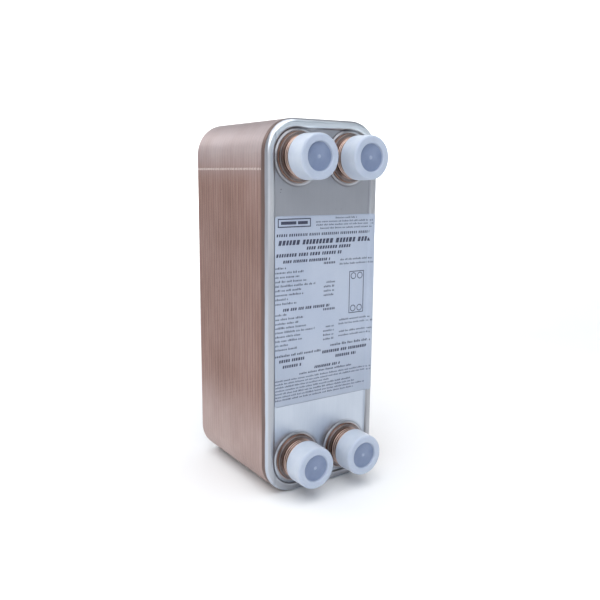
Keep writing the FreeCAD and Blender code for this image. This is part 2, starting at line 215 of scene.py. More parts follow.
def turned(name, path, origin, segments=160, closed=False, wobble=None):
    """A path of (radius, y) turned about the port's axis. wobble(turn, radius, y) may move a point."""
    points, rings = [], []
    for radius, y in path:
        if radius < 1e-7:
            rings.append([len(points)] * segments)
            points.append((0, y, 0))
            continue
        rings.append(list(range(len(points), len(points) + segments)))
        for n in range(segments):
            turn = TAU * n / segments
            r, depth = wobble(turn, radius, y) if wobble else (radius, y)
            points.append((r * math.cos(turn), depth, r * math.sin(turn)))
    pairs = list(zip(rings, rings[1:] + rings[:1])) if closed else list(zip(rings, rings[1:]))
    faces = []
    for one, two in pairs:
        for n in range(segments):
            m = (n + 1) % segments
            face = [one[n], one[m], two[m], two[n]]
            faces.append(tuple(dict.fromkeys(face)))
    return new_object(name, points, faces, origin)


# ---------------------------------------------------------------- material helpers
def new_material(name):
    material = bpy.data.materials.new(name)
    material.use_nodes = True
    shader = material.node_tree.nodes["Principled BSDF"]
    return material, material.node_tree, shader


def link(tree, source, target, socket):
    """Join a node's first output, or an output socket, to a node's input."""
    output = source.outputs[0] if isinstance(source, bpy.types.Node) else source
    tree.links.new(output, target.inputs[socket])


def object_place(tree):
    return tree.nodes.new("ShaderNodeTexCoord").outputs["Object"]


def stretched(tree, place, scale, shift=(0, 0, 0)):
    """A place scaled by axis, which makes a pattern fine along the axes with a large scale."""
    mapping = tree.nodes.new("ShaderNodeMapping")
    mapping.inputs["Scale"].default_value = scale
    mapping.inputs["Location"].default_value = shift
    link(tree, place, mapping, "Vector")
    return mapping.outputs[0]


def pattern(tree, place, **values):
    """A noise pattern of 0 to 1 over a place, with the noise node's inputs set by name."""
    node = tree.nodes.new("ShaderNodeTexNoise")
    link(tree, place, node, "Vector")
    for socket, setting in values.items():
        node.inputs[socket].default_value = setting
    return node.outputs[0]


def maths(tree, operation, a, b=0.0):
    """One sum on two values. Each is a number or a socket."""
    node = tree.nodes.new("ShaderNodeMath")
    node.operation = operation
    for socket, given in ((0, a), (1, b)):
        if isinstance(given, (int, float)):
            node.inputs[socket].default_value = given
        else:
            link(tree, given, node, socket)
    return node.outputs[0]


def plus(tree, a, b):
    return maths(tree, "ADD", a, b)


def minus(tree, a, b):
    return maths(tree, "SUBTRACT", a, b)


def times(tree, a, b):
    return maths(tree, "MULTIPLY", a, b)


def size_of(tree, given):
    return maths(tree, "ABSOLUTE", given)


def off_axis(tree, x, z):
    """Distance from a port's axis, from the two distances across it."""
    squares = [maths(tree, "POWER", size_of(tree, across), 2.0) for across in (x, z)]
    return maths(tree, "POWER", plus(tree, *squares), 0.5)


def span(tree, given, low, high, to_low=0.0, to_high=1.0):
    """A value taken smoothly from low..high to to_low..to_high, and held beyond."""
    node = tree.nodes.new("ShaderNodeMapRange")
    node.interpolation_type = "SMOOTHSTEP"
    for socket, setting in (("From Min", low), ("From Max", high), ("To Min", to_low), ("To Max", to_high)):
        node.inputs[socket].default_value = setting
    link(tree, given, node, "Value")
    return node.outputs[0]


def colour_ramp(tree, given, stops):
    node = tree.nodes.new("ShaderNodeValToRGB")
    elements = node.color_ramp.elements
    while len(elements) < len(stops):
        elements.new(0.5)
    for element, (position, colour) in zip(elements, stops):
        element.position = position
        element.color = (*colour, 1)
    link(tree, given, node, "Fac")
    return node.outputs[0]


def mixed(tree, share, first, second, blend="MIX"):
    """Two colours mixed. Each colour, and the share, is a constant or a socket."""
    node = tree.nodes.new("ShaderNodeMix")
    node.data_type = "RGBA"
    node.blend_type = blend
    for socket, kind, given in (("Factor", "VALUE", share), ("A", "RGBA", first), ("B", "RGBA", second)):
        target = next(i for i in node.inputs if i.name == socket and i.type == kind)
        if isinstance(given, (int, float)):
            target.default_value = given
        elif isinstance(given, tuple):
            target.default_value = (*given, 1)
        else:
            tree.links.new(given, target)
    return next(o for o in node.outputs if o.type == "RGBA")


def multiplied(tree, first, second):
    return mixed(tree, 1.0, first, second, "MULTIPLY")


def bumped(tree, shader, height, strength, distance):
    node = tree.nodes.new("ShaderNodeBump")
    node.inputs["Strength"].default_value = strength
    node.inputs["Distance"].default_value = distance
    link(tree, height, node, "Height")
    link(tree, node, shader, "Normal")


def axes(tree, place):
    """The x, y and z of a place."""
    node = tree.nodes.new("ShaderNodeSeparateXYZ")
    link(tree, place, node, "Vector")
    return node.outputs


def near(tree, place, spot, radius):
    """1 at a spot, falling to 0 at a radius from it."""
    node = tree.nodes.new("ShaderNodeVectorMath")
    node.operation = "DISTANCE"
    link(tree, place, node, 0)
    node.inputs[1].default_value = spot
    return span(tree, node.outputs["Value"], 0.0, radius, 1.0, 0.0)


# ---------------------------------------------------------------- materials
def sheet_material():
    """Stainless sheet stained by brazing copper, with streaks along Z and a tint for each plate.

    It is paler at the foot and the head with painted reflections, and darker lower down and in the step
    behind each rim with painted shade. It has a painted glint on each lip, and is bright round the stacking
    notches of the left side.
    """
    material, tree, shader = new_material("brazed_sheet")
    place = object_place(tree)
    x, y, z = axes(tree, place)
    turns = maths(tree, "DIVIDE", minus(tree, y, PLATE_LOW.y + RIM_DEPTH), PLATE_PITCH)
    within = maths(tree, "FRACT", plus(tree, turns, 100.0))
    number = maths(tree, "FLOOR", turns)
    odd = maths(tree, "PINGPONG", number, 1.0)
    tint = tree.nodes.new("ShaderNodeTexWhiteNoise")
    tint.noise_dimensions = "1D"
    link(tree, number, tint, "W")

    clouds = pattern(tree, stretched(tree, place, (16, 16, 11)), Scale=1.0, Detail=4.0, Roughness=0.6)
    streaks = pattern(tree, stretched(tree, place, (500, 1500, 30)), Scale=1.0, Detail=5.0, Roughness=0.65)
    stain = plus(tree, times(tree, clouds, 0.55), times(tree, streaks, 0.45))
    browns = (
        (0.30, (0.240, 0.140, 0.116)),
        (0.46, (0.300, 0.182, 0.153)),
        (0.58, (0.350, 0.226, 0.197)),
        (0.74, (0.430, 0.308, 0.275)),
    )
    shade = minus(tree, plus(tree, times(tree, tint.outputs["Value"], 0.08), 0.98), times(tree, odd, 0.16))
    tinted = multiplied(tree, colour_ramp(tree, stain, browns), shade)
    # Painted shade, over a little darker braze copper, at the foot of each plate's strip in the step behind
    # the rim before it.
    step_shade = span(tree, within, 0.0, 0.36, 0.60, 1.0)
    tinted = multiplied(tree, tinted, step_shade)
    # Painted glint, with a little wear, along the lip at the end of each plate's strip.
    lip_glint = times(tree, span(tree, within, 0.80, 0.97), span(tree, streaks, 0.35, 0.65, 0.15, 0.75))
    tinted = mixed(tree, lip_glint, tinted, (0.70, 0.52, 0.46))
    # Painted shade: slightly darker below 210 mm, easing out by 250 mm.
    tinted = multiplied(tree, tinted, span(tree, z, 210 * MM, 250 * MM, 0.925, 1.0))

    # Painted light: the foot is paler with a painted reflection of the lit floor, and the head is paler and
    # greyer with a painted reflection of the bright room above.
    floor_reflection_foot = span(tree, z, 30 * MM, 100 * MM, 0.55, 0.0)
    head_reflection = span(tree, z, 255 * MM, 298 * MM, 0.0, 0.62)
    pale = times(tree, maths(tree, "MAXIMUM", floor_reflection_foot, head_reflection), span(tree, clouds, 0.3, 0.7, 0.7, 1.1))
    reflection_tone = mixed(tree, span(tree, z, 200 * MM, 260 * MM), (0.62, 0.52, 0.50), (0.60, 0.55, 0.565))
    tinted = mixed(tree, pale, tinted, reflection_tone)

    row = span(tree, size_of(tree, minus(tree, z, STACKING_MARK)), 0.6 * MM, 1.2 * MM, 1.0, 0.0)
    on_left = span(tree, x, -54 * MM, -52 * MM, 1.0, 0.0)
    notches = times(tree, times(tree, row, span(tree, within, 0.3, 0.6)), times(tree, on_left, 0.5))
    tinted = mixed(tree, notches, tinted, (0.92, 0.84, 0.80))
    link(tree, tinted, shader, "Base Color")
    shader.inputs["Metallic"].default_value = 0.85
    link(tree, span(tree, streaks, 0.3, 0.7, 0.34, 0.50), shader, "Roughness")
    bumped(tree, shader, streaks, 0.18, 0.0001)
    return material


def port_stains(tree, x, z, rough_edge):
    """Where copper has run out round the flanges, and a painted shade on each boss's sloping edge."""
    runout = boss_shades = 0.0
    for port in PORTS:
        centre = port_centre(port)
        across = minus(tree, x, centre.x)
        away = off_axis(tree, across, minus(tree, z, centre.z))
        ring = span(tree, plus(tree, away, rough_edge), 19.9 * MM, 21.4 * MM, 1.0, 0.0)
        # Painted shade on each boss's sloping edge, darkest on its left and most at the upper ports.
        darkest_left = 0.95 if port.startswith("upper") else 0.40
        left_part = span(tree, across, -8 * MM, 8 * MM, darkest_left, 0.20)
        boss_shade = times(tree, span(tree, away, 23.2 * MM, 24.2 * MM, 1.0, 0.0), left_part)
        runout = maths(tree, "MAXIMUM", runout, ring)
        boss_shades = maths(tree, "MAXIMUM", boss_shades, boss_shade)
    return runout, boss_shades


def cover_material():
    """Rolled stainless: fine upright grain, soft clouds, copper stain round the skirt and ports.

    The sunk field has a painted dark reflection towards its top. The raised band has painted shade low down
    and on its right side, a painted highlight at its top, and a painted shade line at the foot of its left
    step.
    """
    material, tree, shader = new_material("cover_steel")
    place = object_place(tree)
    x, y, z = axes(tree, place)
    clouds = pattern(tree, stretched(tree, place, (22, 22, 11)), Scale=1.0, Detail=5.0, Roughness=0.62)
    grain = pattern(tree, stretched(tree, place, (1500, 700, 26)), Scale=1.0, Detail=4.0, Roughness=0.7)
    fine = pattern(tree, place, Scale=900.0, Detail=3.0, Roughness=0.6)
    smudges = pattern(tree, stretched(tree, place, (40, 40, 22), (3, 1, 2)), Scale=1.0, Detail=3.0)
    tone = plus(tree, times(tree, clouds, 0.7), times(tree, grain, 0.3))
    greys = ((0.32, (0.56, 0.585, 0.63)), (0.52, (0.635, 0.655, 0.69)), (0.70, (0.69, 0.70, 0.725)))
    steel = colour_ramp(tree, tone, greys)

    sunk = span(tree, y, FRONT + 0.3 * FIELD_DEPTH, FRONT + 0.9 * FIELD_DEPTH)
    steel = mixed(tree, sunk, steel, multiplied(tree, steel, (0.84, 0.895, 0.965)))
    # Painted dark reflection: the sunk field darkens towards its top.
    dark_reflection = times(tree, sunk, span(tree, z, 120 * MM, 245 * MM, 0.0, 0.46))
    steel = mixed(tree, dark_reflection, steel, (0.25, 0.225, 0.225))
    raised = minus(tree, 1.0, sunk)
    # Painted shade on the raised band, lower down.
    band_low_shade = times(tree, span(tree, z, 180 * MM, 232 * MM, 0.74, 0.0), raised)
    steel = mixed(tree, band_low_shade, steel, (0.36, 0.375, 0.41))
    # Painted shade on the band's right side.
    far_side_shade = times(tree, span(tree, x, 46 * MM, 49 * MM, 0.0, 0.42), raised)
    steel = mixed(tree, far_side_shade, steel, (0.36, 0.36, 0.375))
    # Painted highlight along the top of the band.
    top_highlight = times(tree, span(tree, z, 280 * MM, 302 * MM, 0.0, 0.90), raised)
    steel = mixed(tree, top_highlight, steel, (0.84, 0.93, 1.0))
    # Painted shade line in the crease at the foot of the band's left step.
    left_step_shade = span(tree, size_of(tree, plus(tree, x, 47.5 * MM)), 0.5 * MM, 1.3 * MM, 0.35, 0.0)
    steel = mixed(tree, left_step_shade, steel, (0.24, 0.27, 0.31))

    rough_edge = times(tree, minus(tree, clouds, 0.5), 2.2 * MM)
    skirt = span(tree, plus(tree, minus(tree, y, FRONT), rough_edge), 2.7 * MM, 3.6 * MM)
    skirt = times(tree, skirt, span(tree, y, FIELD_BACK, FIELD_BACK + 0.5 * MM))
    coloured = mixed(tree, times(tree, skirt, 0.92), steel, (0.165, 0.100, 0.080))
    runout, boss_shades = port_stains(tree, x, z, rough_edge)
    # Painted shade on the bosses' sloping edges.
    coloured = mixed(tree, boss_shades, coloured, (0.25, 0.25, 0.27))
    coloured = mixed(tree, times(tree, runout, 0.42), coloured, (0.40, 0.30, 0.25))
    for speck_x, speck_z, radius in SPECKS:
        speck = near(tree, place, (speck_x * MM, FIELD_BACK, speck_z * MM), radius * MM)
        coloured = mixed(tree, times(tree, speck, 0.75), coloured, (0.12, 0.11, 0.11))
    link(tree, coloured, shader, "Base Color")
    shader.inputs["Metallic"].default_value = 1.0

    gloss = plus(tree, span(tree, smudges, 0.3, 0.7, 0.285, 0.365), times(tree, fine, 0.02))
    right_step = span(tree, size_of(tree, minus(tree, x, 47.6 * MM)), 1.4 * MM, 2.4 * MM, 0.30, 0.0)
    scuffed = plus(tree, right_step, times(tree, skirt, 0.12))
    link(tree, plus(tree, gloss, scuffed), shader, "Roughness")
    bumped(tree, shader, plus(tree, times(tree, grain, 0.8), times(tree, fine, 0.2)), 0.07, 0.0001)
    return material


def rear_material():
    """The rear cover's stainless, with more copper washed over it from its edge inwards."""
    material, tree, shader = new_material("rear_steel")
    place = object_place(tree)
    x, y, z = axes(tree, place)
    clouds = pattern(tree, stretched(tree, place, (26, 26, 13)), Scale=1.0, Detail=6.0, Roughness=0.65)
    grain = pattern(tree, stretched(tree, place, (1400, 600, 24)), Scale=1.0, Detail=4.0)
    half_width = (CAD_HIGH.x - CAD_LOW.x) / 2
    half_height = (COVER_HIGH.z - COVER_LOW.z) / 2
    to_side = minus(tree, half_width, size_of(tree, x))
    to_end = minus(tree, half_height, size_of(tree, minus(tree, z, half_height)))
    edge = maths(tree, "MINIMUM", to_side, to_end)
    washed = minus(tree, edge, times(tree, minus(tree, clouds, 0.38), 0.07))
    stain = span(tree, washed, -6 * MM, 9 * MM, 0.75, 0.06)
    steel = colour_ramp(tree, clouds, ((0.3, (0.52, 0.53, 0.555)), (0.7, (0.64, 0.645, 0.66))))
    link(tree, mixed(tree, stain, steel, (0.52, 0.34, 0.275)), shader, "Base Color")
    shader.inputs["Metallic"].default_value = 1.0
    link(tree, span(tree, clouds, 0.3, 0.7, 0.30, 0.44), shader, "Roughness")
    bumped(tree, shader, grain, 0.15, 0.0001)
    return material


def nozzle_material():
    """Oxidised steel: dark on the flange's side, with painted shade over the oxide in the thread, copper on
    its crests.
    """
    material, tree, shader = new_material("nozzle_steel")
    place = object_place(tree)
    x, y, z = axes(tree, place)
    away = off_axis(tree, x, z)
    clouds = pattern(tree, place, Scale=95.0, Detail=5.0, Roughness=0.62)
    rings = pattern(tree, stretched(tree, place, (60, 2600, 60)), Scale=1.0, Detail=3.0)
    browns = ((0.30, (0.210, 0.178, 0.172)), (0.50, (0.380, 0.322, 0.312)), (0.72, (0.53, 0.46, 0.445)))
    side = span(tree, plus(tree, away, times(tree, clouds, 1.2 * MM)), 17.4 * MM, 18.7 * MM)
    coloured = mixed(tree, times(tree, side, 0.55), colour_ramp(tree, clouds, browns), (0.090, 0.080, 0.080))
    outside = span(tree, away, NECK, NECK + 0.08 * MM)
    # Painted shade in the thread's roots, over dark oxide.
    root = times(tree, outside, span(tree, away, 15.5 * MM, 16.45 * MM, 0.80, 0.0))
    coloured = mixed(tree, root, coloured, (0.070, 0.045, 0.038))
    worn = span(tree, plus(tree, away, times(tree, clouds, 0.35 * MM)), 16.35 * MM, 16.72 * MM)
    crest = times(tree, worn, span(tree, away, 16.7 * MM, 17.0 * MM, 1.0, 0.0))
    coloured = mixed(tree, times(tree, crest, 0.80), coloured, (0.64, 0.42, 0.33))
    link(tree, coloured, shader, "Base Color")
    shader.inputs["Metallic"].default_value = 0.9
    link(tree, span(tree, clouds, 0.3, 0.7, 0.28, 0.50), shader, "Roughness")
    bumped(tree, shader, plus(tree, rings, times(tree, clouds, 0.5)), 0.3, 0.0002)
    return material


def braze_material():
    """Dull brazing copper, lighter where it is thin."""
    material, tree, shader = new_material("braze_copper")
    place = object_place(tree)
    clouds = pattern(tree, place, Scale=260.0, Detail=5.0, Roughness=0.6)
    patches = pattern(tree, place, Scale=38.0, Detail=3.0)
    tone = plus(tree, times(tree, clouds, 0.5), times(tree, patches, 0.5))
    coppers = ((0.32, (0.11, 0.060, 0.045)), (0.5, (0.22, 0.130, 0.100)), (0.7, (0.42, 0.27, 0.21)))
    link(tree, colour_ramp(tree, tone, coppers), shader, "Base Color")
    shader.inputs["Metallic"].default_value = 1.0
    link(tree, span(tree, clouds, 0.3, 0.7, 0.30, 0.55), shader, "Roughness")
    bumped(tree, shader, clouds, 0.4, 0.0002)
    return material


def bead_material():
    """Clean, bright copper of the drops in the stacking notches."""
    material, tree, shader = new_material("bright_copper")
    clouds = pattern(tree, object_place(tree), Scale=700.0, Detail=3.0)
    coppers = ((0.35, (0.62, 0.48, 0.43)), (0.65, (0.80, 0.70, 0.65)))
    link(tree, colour_ramp(tree, clouds, coppers), shader, "Base Color")
    shader.inputs["Metallic"].default_value = 0.7
    link(tree, span(tree, clouds, 0.3, 0.7, 0.30, 0.45), shader, "Roughness")
    bumped(tree, shader, clouds, 0.2, 0.0001)
    return material


def cap_material():
    """Natural polyethylene: milky and translucent, with painted shade on its front face and on the thin disc
    over the dark bore.
    """
    material, tree, shader = new_material("cap_plastic")
    place = object_place(tree)
    x, y, z = axes(tree, place)
    away = off_axis(tree, x, z)
    clouds = pattern(tree, place, Scale=70.0, Detail=4.0, Roughness=0.55)
    fine = pattern(tree, place, Scale=1400.0, Detail=2.0)
    milk = colour_ramp(tree, clouds, ((0.3, (0.495, 0.56, 0.675)), (0.7, (0.58, 0.635, 0.735))))
    # Painted shade on the cap's front face.
    face = span(tree, y, -28.2 * MM, -26.6 * MM, 0.46, 0.0)
    milk = mixed(tree, face, milk, (0.33, 0.39, 0.51))
    # Painted shade where the dark bore shows through the thin disc.
    behind_face = span(tree, y, -28.0 * MM, -27.2 * MM)
    thin = times(tree, behind_face, span(tree, away, 10.4 * MM, 12.1 * MM, 1.0, 0.0))
    disc = colour_ramp(tree, clouds, ((0.3, (0.165, 0.215, 0.34)), (0.7, (0.225, 0.280, 0.41))))
    gate = span(tree, away, 0.8 * MM, 2.2 * MM, 0.35, 0.0)
    tinted = mixed(tree, thin, milk, disc)
    tinted = mixed(tree, times(tree, gate, thin), tinted, (0.55, 0.62, 0.76))
    link(tree, tinted, shader, "Base Color")
    shader.inputs["Subsurface Weight"].default_value = 0.45
    shader.inputs["Subsurface Radius"].default_value = (1.0, 1.0, 1.15)
    shader.inputs["Subsurface Scale"].default_value = 0.0022
    shader.inputs["Specular IOR Level"].default_value = 0.45
    link(tree, span(tree, clouds, 0.3, 0.7, 0.34, 0.46), shader, "Roughness")
    bumped(tree, shader, fine, 0.08, 0.0001)
    return material


def film_material():
    """Silver-grey polyester label film: satin, with a faint mottle, darker towards its foot."""
    material, tree, shader = new_material("label_film")
    place = object_place(tree)
    clouds = pattern(tree, stretched(tree, place, (30, 30, 18)), Scale=1.0, Detail=4.0)
    speck = pattern(tree, place, Scale=1300.0, Detail=2.0, Roughness=0.7)
    tone = plus(tree, times(tree, clouds, 0.6), times(tree, speck, 0.4))
    silvers = ((0.34, (0.395, 0.455, 0.575)), (0.52, (0.440, 0.500, 0.615)), (0.68, (0.495, 0.55, 0.655)))
    low_shade = span(tree, axes(tree, place)[2], 75 * MM, 150 * MM, 0.86, 1.0)
    link(tree, multiplied(tree, colour_ramp(tree, tone, silvers), low_shade), shader, "Base Color")
    shader.inputs["Metallic"].default_value = 0.25
    link(tree, span(tree, speck, 0.3, 0.7, 0.38, 0.50), shader, "Roughness")
    shader.inputs["Coat Weight"].default_value = 0.25
    shader.inputs["Coat Roughness"].default_value = 0.22
    bumped(tree, shader, speck, 0.06, 0.00005)
    return material


def ink_material():
    """Thermal-transfer ink: very dark blue-black, slightly broken up."""
    material, tree, shader = new_material("label_ink")
    speck = pattern(tree, object_place(tree), Scale=2200.0, Detail=2.0, Roughness=0.7)
    inks = ((0.35, (0.020, 0.024, 0.052)), (0.72, (0.065, 0.075, 0.13)))
    link(tree, colour_ramp(tree, speck, inks), shader, "Base Color")
    link(tree, span(tree, speck, 0.3, 0.7, 0.40, 0.60), shader, "Roughness")
    return material


def dress(node_name, material):
    """Give a CAD node a material in place of its own."""
    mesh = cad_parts[node_name].data
    mesh.materials.clear()
    mesh.materials.append(material)


# ---------------------------------------------------------------- ports
def port_centre(port):
    low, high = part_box(f"nozzle_{port}")
    return Vector(((low.x + high.x) / 2, FRONT, (low.z + high.z) / 2))


def port_boss_top(port):
    """How far a port's boss, where its brazing ring sits, is behind the foremost plane."""
    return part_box(f"braze_fillet_{port}")[1].y - FRONT


def thread_radius(share):
    """Radius of a 55 degree pipe thread at a share of its pitch: root, flank, crest, flank."""
    rise = min(max((0.5 - abs(share - 0.5)) * 3.2 - 0.28, 0.0), 1.0)
    eased = rise * rise * (3 - 2 * rise)
    return THREAD_ROOT + (THREAD_CREST - THREAD_ROOT) * (eased * 0.35 + rise * 0.65)


def make_thread(port, tip, start):
    """A one-start pipe thread, its rows laid along the helix, dying out at both ends."""
    rows, segments = 12, 144
    foot = THREAD_ROOT - 0.1 * MM
    length = start - tip
    count = int(length / THREAD_PITCH * rows) + 2 * rows
    points = []
    for row in range(count):
        for n in range(segments):
            turn = n / segments
            run = (row / rows + turn - 1) * THREAD_PITCH
            y = start - min(max(run, 0.0), length)
            rise, fall = run / (0.45 * THREAD_PITCH), (length - run) / (0.7 * THREAD_PITCH)
            fade = min(max(rise, 0.0), max(fall, 0.0), 1.0)
            radius = foot + (thread_radius((row / rows) % 1.0) - foot) * fade
            points.append((radius * math.cos(TAU * turn), y, radius * math.sin(TAU * turn)))
    faces = []
    for row in range(count - 1):
        for n in range(segments):
            if n + 1 < segments:
                one, two = row * segments + n + 1, (row + 1) * segments + n + 1
            elif row + rows + 1 < count:
                one, two = (row + rows) * segments, (row + rows + 1) * segments
            else:
                continue
            faces.append((row * segments + n, one, two, (row + 1) * segments + n))
    return new_object(f"thread_{port}", points, faces, port_centre(port))


def make_nozzle(port, material):
    """Flange, neck and bore turned in one piece, with the helical thread round the neck."""
    low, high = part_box(f"nozzle_{port}")
    flange = (high.x - low.x) / 2
    tip = low.y - FRONT
    boss_top, spigot_end = port_boss_top(port), 3.4 * MM
    corners = [
        (BORE, spigot_end, 0),
        (SPIGOT, spigot_end, 0),
        (SPIGOT, boss_top, 0),
        (flange, boss_top, 0.15 * MM),
        (flange, FLANGE_FRONT, 0.50 * MM),
        (NECK, FLANGE_FRONT, 0.4 * MM),
        (NECK, tip, 0.35 * MM),
        (BORE, tip, 0.4 * MM),
    ]
    seed = sum(map(ord, port))

    def wobble(turn, radius, y):
        """The turned flange is true to a few hundredths, with small knocks on its edge."""
        if radius < flange - 0.6 * MM:
            return radius, y
        knock = noise.noise(Vector((math.cos(turn) * 5, math.sin(turn) * 5, seed + y * 300)))
        return radius - abs(knock) * 0.10 * MM, y

    body = turned(f"nozzle_body_{port}", rounded(corners), port_centre(port), closed=True, wobble=wobble)
    thread = make_thread(port, tip + 0.35 * MM, FLANGE_FRONT - 0.05 * MM)
    for piece in (body, thread):
        piece.data.materials.append(material)
        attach(piece, "exchanger")
    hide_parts(f"nozzle_{port}")


def make_braze_ring(port, material):
    """The run-out ring of copper at a flange's foot, uneven in width and height."""
    low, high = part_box(f"nozzle_{port}")
    flange = (high.x - low.x) / 2
    boss_top = port_boss_top(port)
    segments, across = 200, 8
    seed = 7 * sum(map(ord, port))
    points = []
    for n in range(segments):
        turn = TAU * n / segments
        at = Vector((math.cos(turn) * 3, math.sin(turn) * 3, seed))
        width = (0.62 + 0.28 * noise.noise(at) + 0.12 * noise.noise(at * 5)) * MM
        rise = (0.72 + 0.30 * noise.noise(at + Vector((0, 0, 9)))) * MM
        for step in range(across + 1):
            share = step / across
            out = width * (1 - math.cos(share * math.pi / 2))
            up = rise * (1 - math.sin(share * math.pi / 2))
            radius = flange + out
            points.append((radius * math.cos(turn), boss_top - up - 0.01 * MM, radius * math.sin(turn)))
    faces = []
    for n in range(segments):
        m = (n + 1) % segments
        for step in range(across):
            a, b = n * (across + 1) + step, m * (across + 1) + step
            faces.append((a, b, b + 1, a + 1))
    ring = new_object(f"braze_ring_{port}", points, faces, port_centre(port))
    ring.data.materials.append(material)
    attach(ring, "exchanger")
    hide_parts(f"braze_fillet_{port}")


def make_cap(port, material):
    """A moulded cap: tapered skirt, soft edges, a cup in its face and the gate's pip."""
    low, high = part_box(f"cap_{port}")
    reach, rear = low.y - FRONT, high.y - FRONT
    outer = (high.x - low.x) / 2
    disc = reach + 2.0 * MM
    corners = [
        (CAP_INSIDE, rear, 0.12 * MM),
        (outer, rear, 0.30 * MM),
        (CAP_NOSE, reach, 1.8 * MM),
        (CAP_CUP + 0.25 * MM, reach, 0.9 * MM),
        (CAP_CUP - 0.15 * MM, disc, 0.7 * MM),
        (1.3 * MM, disc, 0.2 * MM),
        (0.7 * MM, disc - 0.35 * MM, 0.15 * MM),
        (0.0, disc - 0.30 * MM, 0),
        (0.0, disc + CAP_WALL, 0),
        (CAP_CUP + 1.0 * MM, disc + CAP_WALL, 0.5 * MM),
        (CAP_CUP + 1.1 * MM, reach + CAP_WALL, 0.3 * MM),
        (CAP_INSIDE - 0.15 * MM, reach + CAP_WALL, 0.5 * MM),
    ]
    seed = 3 * sum(map(ord, port))

    def wobble(turn, radius, y):
        """A soft moulding is slightly out of round."""
        pull = noise.noise(Vector((math.cos(turn) * 1.3, math.sin(turn) * 1.3, seed)))
        return radius * (1 - 0.004 * abs(pull)), y

    cap = turned(f"cap_moulded_{port}", rounded(corners, 7), port_centre(port), closed=True, wobble=wobble)
    cap.data.materials.append(material)
    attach(cap, f"cap_{port}")
    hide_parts(f"cap_{port}")


# ---------------------------------------------------------------- copper between the rims
def outline_point(share, inset):
    """A point, at a share of the way round, of the plates' outline moved inwards."""
    width = (COVER_HIGH.x - COVER_LOW.x) / 2
    height = COVER_HIGH.z - COVER_LOW.z
    radius = CORNER_RADIUS
    runs = []
    for turn, (cx, cz) in enumerate((
        (width - radius, height - radius),
        (radius - width, height - radius),
        (radius - width, radius),
        (width - radius, radius),
    )):
        runs.append(("arc", Vector((cx, cz)), turn * math.pi / 2, radius * math.pi / 2))
        straight = 2 * (width - radius) if turn % 2 == 0 else height - 2 * radius
        runs.append(("line", Vector((cx, cz)), (turn + 1) * math.pi / 2, straight))
    total = sum(run[3] for run in runs)
    travel = (share % 1.0) * total
    for kind, centre, angle, length in runs:
        if travel <= length:
            break
        travel -= length
    if kind == "arc":
        angle += travel / radius
    normal = Vector((math.cos(angle), math.sin(angle)))
    along = Vector((-normal.y, normal.x)) * (travel if kind == "line" else 0.0)
    return centre + along + normal * (radius - inset)


def make_rim_beads(material):
    """Thin uneven copper in the step behind every rim, all the way round the pack."""
    segments = 360
    points, faces = [], []
    step_inset = PLATE_PITCH * math.tan(RIM_DRAFT)
    last = PLATE_HIGH.y + (PLATE_COUNT - 2) * PLATE_PITCH
    for plate in range(PLATE_COUNT):
        y = PLATE_LOW.y + RIM_DEPTH + plate * PLATE_PITCH
        if y > last - 0.5 * MM:
            break
        base = len(points)
        for n in range(segments):
            share = n / segments
            size = 0.30 + 0.16 * noise.noise(Vector((share * 60, plate * 3.7, 0)))
            size += 0.10 * noise.noise(Vector((share * 260, plate * 9.1, 4)))
            size = max(size, 0.08) * MM
            for inset, back in (
                (step_inset + 0.05 * MM, -0.05 * MM),
                (max(step_inset - size, 0.10 * MM), -0.02 * MM),
                (step_inset - size * 0.42, size * 0.5),
                (step_inset + 0.05 * MM - size * 0.18, size * 1.25),
            ):
                place = outline_point(share, inset)
                points.append((place.x, y + back, place.y))
        for n in range(segments):
            m = (n + 1) % segments
            for k in range(3):
                a, b = base + 4 * n + k, base + 4 * m + k
                faces.append((a, a + 1, b + 1, b))
    beads = new_object("rim_braze_beads", points, faces)
    beads.data.materials.append(material)
    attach(beads, "exchanger")


def make_stacking_beads(material):
    """Bright copper drops in the stacking notches, one on every second rim of the left side."""
    segments, rings = 14, 8
    points, faces = [], []
    reach = Vector((0.72, 0.80, 1.05)) * MM
    rim = RIM_DEPTH + PLATE_LOW.y
    for plate in range(0, PLATE_COUNT, 2):
        base = len(points)
        size = 1 + 0.18 * noise.noise(Vector((plate * 1.7, 2, 5)))
        middle = Vector((LEFT_SIDE + reach.x, rim + plate * PLATE_PITCH - 0.45 * MM, STACKING_MARK))
        for ring in range(1, rings):
            tilt = math.pi * ring / rings
            for n in range(segments):
                turn = TAU * n / segments
                lump = size * (1 + 0.10 * noise.noise(Vector((turn, ring, plate))))
                x = middle.x + reach.x * lump * math.sin(tilt) * math.cos(turn)
                y = middle.y + reach.y * lump * math.sin(tilt) * math.sin(turn)
                z = middle.z + reach.z * lump * math.cos(tilt)
                points.append((max(x, LEFT_SIDE + 0.02 * MM), y, z))
        for ring in range(rings - 2):
            for n in range(segments):
                m = (n + 1) % segments
                a, b = base + ring * segments, base + (ring + 1) * segments
                faces.append((a + n, b + n, b + m, a + m))
        faces.append(tuple(base + n for n in range(segments)))
        faces.append(tuple(base + (rings - 2) * segments + n for n in reversed(range(segments))))
    beads = new_object("stacking_mark_beads", points, faces)
    beads.data.materials.append(material)
    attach(beads, "exchanger")


# ---------------------------------------------------------------- label
STEP_FOOT = COVER_HIGH.x - BAND_WIDTH - 1.72 * MM
STEP_HEAD = COVER_HIGH.x - BAND_WIDTH + 0.2 * MM
FILM = FRONT - LABEL_LOW.y
FINE, PLAIN, FIRM, STRONG, HEAVY = 0.55, 0.60, 0.70, 0.75, 0.78


def bell(distance, width):
    """1 at no distance, falling away smoothly over a width."""
    return math.exp(-((distance / width) ** 2))


